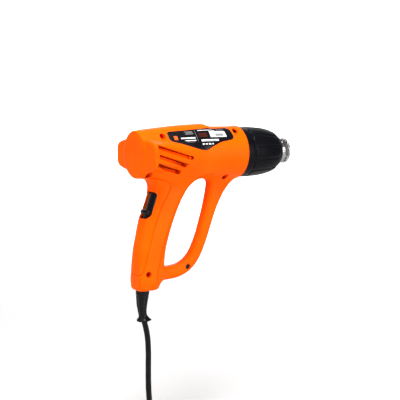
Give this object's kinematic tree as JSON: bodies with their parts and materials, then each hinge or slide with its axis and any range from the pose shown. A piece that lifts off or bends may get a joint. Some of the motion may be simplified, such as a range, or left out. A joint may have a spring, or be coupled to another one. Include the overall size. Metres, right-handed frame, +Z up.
{
  "type": "heat gun",
  "caption": "Corded pistol-grip heat gun: two-shell housing with closed finger guard and rear standing ears, ribbed black heat collar, steel outlet tube, thumb slide switch, lead with plug.",
  "frame": {"origin": "middle of the hand grip, on the plane where the two shells meet", "axes": "+X along the barrel towards the hot air outlet, +Z up out of the grip towards the barrel, the shells meet at Y = 0"},
  "size_m": [0.3168, 0.1475, 0.398],
  "materials": {
    "housing_orange": "fine-grained moulded",
    "plate_metal": "brushed",
    "label_black": "printed film",
    "screw_steel": "zinc plated",
    "collar_black": "satin",
    "nozzle_steel": "polished stainless",
    "shield_steel": "bright sheet",
    "mica": "flaky sheet",
    "ceramic": "unglazed ceramic",
    "heating_wire": "oxidised wire",
    "fuse_metal": "plain",
    "terminal_brass": "plain",
    "motor_steel": "zinc plated",
    "magnet_ferrite": "sintered",
    "inner_black": "moulded",
    "seal_rubber": "soft",
    "board_laminate": "paper laminate",
    "capacitor_yellow": "epoxy coated",
    "switch_black": "smooth moulded",
    "wire_insulation": "smooth",
    "cord_rubber": "satin",
    "boot_rubber": "satin",
    "plug_black": "moulded",
    "pin_metal": "nickel plated"
  },
  "bodies": {
    "gun": {"housing_right": "housing_orange", "housing_left": "housing_orange", "top_plate": "plate_metal", "label_right": "label_black", "label_left": "label_black", "housing_screws": "screw_steel", "clamp_screws": "screw_steel", "front_collar": "collar_black", "nozzle_tube": "nozzle_steel", "heat_shield": "shield_steel", "mica_sleeve": "mica", "heater_core": "ceramic", "outlet_disc": "ceramic", "inlet_disc": "ceramic", "heating_coil": "heating_wire", "thermal_fuse": "fuse_metal", "heater_terminals": "terminal_brass", "shaft_bushes": "terminal_brass", "motor_can": "motor_steel", "motor_magnets": "magnet_ferrite", "motor_end_cap": "inner_black", "air_guide": "inner_black", "switch_body": "inner_black", "rectifier_diodes": "inner_black", "cord_clamp": "inner_black", "guide_seals": "seal_rubber", "rectifier_board": "board_laminate", "suppression_capacitor": "capacitor_yellow", "internal_wiring": "wire_insulation", "cord_jacket_end": "cord_rubber", "power_cord": "cord_rubber", "cord_coil": "cord_rubber", "coil_tie": "cord_rubber", "strain_relief": "boot_rubber", "plug_body": "plug_black", "plug_pins": "pin_metal"},
    "switch": {"switch_slider": "switch_black"},
    "rotor": {"motor_armature": "motor_steel", "motor_shaft": "motor_steel", "fan_wheel": "inner_black"}
  },
  "joints": [
    {"name": "switch_slide", "type": "slide", "parent": "gun", "child": "switch", "axis": [0.3354, 0, 0.9421], "range_m": [0, 0.011]},
    {"name": "rotor_spin", "type": "hinge", "parent": "gun", "child": "rotor", "pos_m": [0.02, 0, 0.0915], "axis": [1, 0, 0], "continuous": true}
  ]
}
